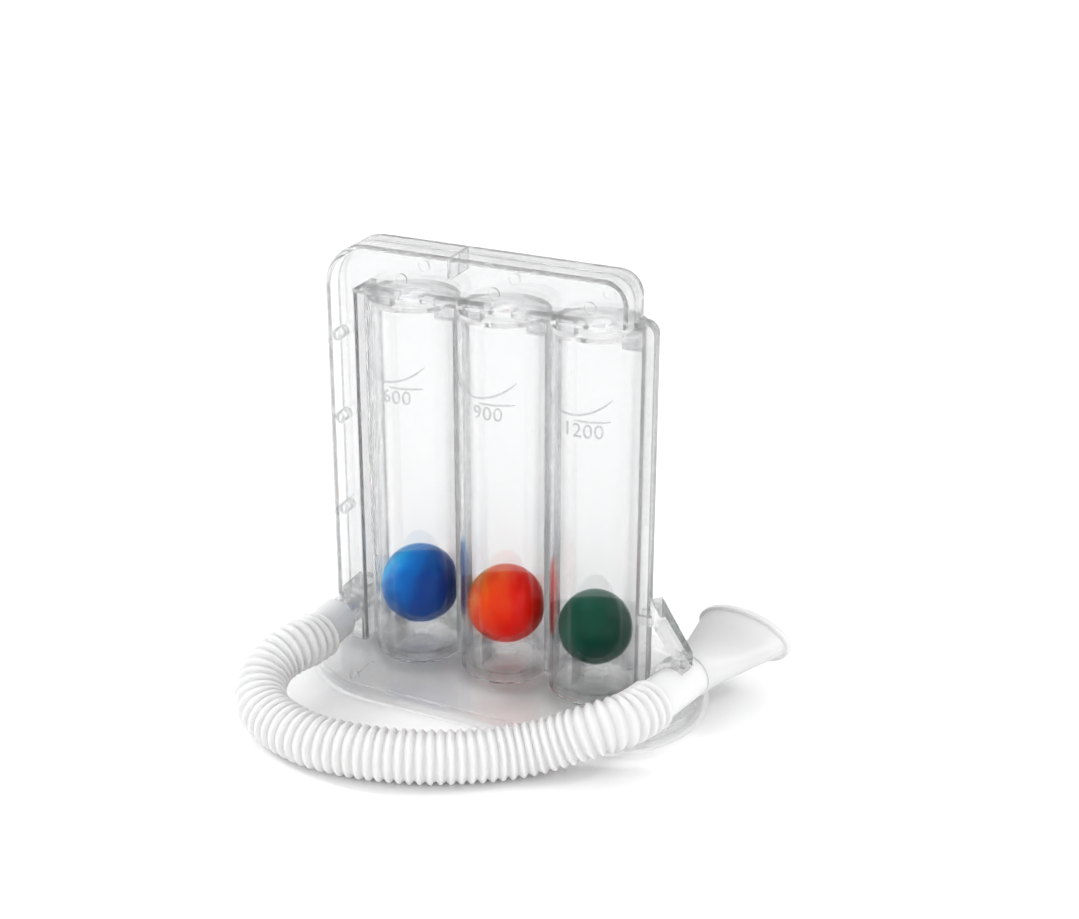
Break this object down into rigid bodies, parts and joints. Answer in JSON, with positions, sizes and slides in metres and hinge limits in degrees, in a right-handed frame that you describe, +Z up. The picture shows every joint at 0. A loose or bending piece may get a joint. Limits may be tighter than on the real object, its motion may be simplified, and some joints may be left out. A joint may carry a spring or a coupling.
{
  "type": "incentive spirometer",
  "caption": "Three-chamber breathing exerciser: clear housing with a coloured ball in each chamber, oval base, corrugated hose and oval mouthpiece on a side clip.",
  "frame": {"origin": "on the table at the middle of the oval base, under the middle chamber", "axes": "+Z up along the chambers, +X along the row of chambers from the duct to the clip, +Y to the back"},
  "size_m": [0.166, 0.1221, 0.151],
  "materials": {
    "clear_plastic": "clear, polished",
    "blue_ball": "gloss, lightly marbled",
    "orange_ball": "gloss, lightly marbled",
    "green_ball": "gloss, lightly marbled",
    "white_hose": "satin, translucent",
    "white_mouthpiece": "satin"
  },
  "bodies": {
    "housing": {"base_plate": "clear_plastic", "front_shell": "clear_plastic", "rear_shell": "clear_plastic", "seat_low": "clear_plastic", "seat_mid": "clear_plastic", "seat_high": "clear_plastic", "port_elbow": "clear_plastic", "port_cuff": "white_hose", "hose_tube": "white_hose", "mouthpiece_cuff": "white_hose", "side_bracket": "clear_plastic"},
    "first_ball": {"ball_low": "blue_ball"},
    "second_ball": {"ball_mid": "orange_ball"},
    "third_ball": {"ball_high": "green_ball"},
    "mouthpiece": {"mouthpiece": "white_mouthpiece"}
  },
  "joints": [
    {"name": "first_ball_rise", "type": "slide", "parent": "housing", "child": "first_ball", "axis": [0, 0, 1], "range_m": [0, 0.0881]},
    {"name": "second_ball_rise", "type": "slide", "parent": "housing", "child": "second_ball", "axis": [0, 0, 1], "range_m": [0, 0.0889]},
    {"name": "third_ball_rise", "type": "slide", "parent": "housing", "child": "third_ball", "axis": [0, 0, 1], "range_m": [0, 0.0913]},
    {"name": "mouthpiece_pull", "type": "slide", "parent": "housing", "child": "mouthpiece", "axis": [0.2351, 0.9718, 0.0175], "range_m": [0, 0.03]}
  ]
}
